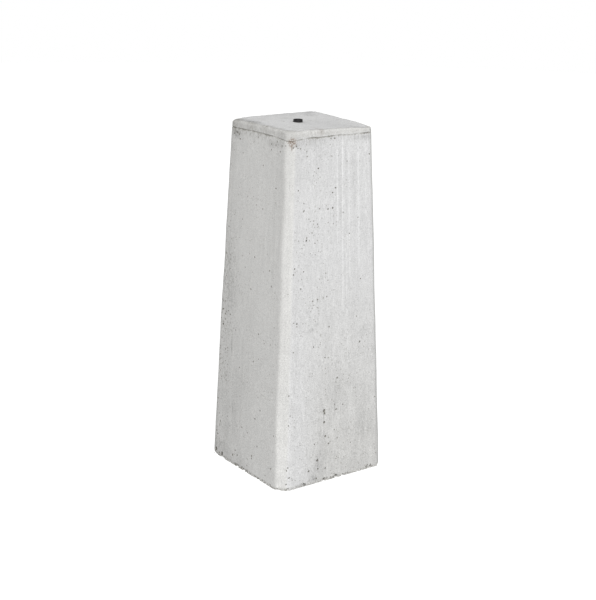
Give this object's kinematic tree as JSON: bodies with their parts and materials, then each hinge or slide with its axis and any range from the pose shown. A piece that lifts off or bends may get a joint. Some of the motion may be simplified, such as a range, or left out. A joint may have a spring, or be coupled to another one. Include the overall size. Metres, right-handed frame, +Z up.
{
  "type": "column base block",
  "caption": "Tapered square concrete base block with chamfered corners, a mould line below its rounded top edge and a stud socket in the top.",
  "frame": {"origin": "middle of the underside, where the block meets the ground", "axes": "+Z up, X and Y square to the four faces; the socket is cast off the middle towards -X"},
  "size_m": [0.187, 0.187, 0.502],
  "materials": {
    "cast_concrete": "matt cast face, light grey, with air pits and stains",
    "black_plastic": "matt moulded"
  },
  "bodies": {
    "root": {"concrete_block": "cast_concrete", "stud_socket": "black_plastic"}
  },
  "joints": []
}
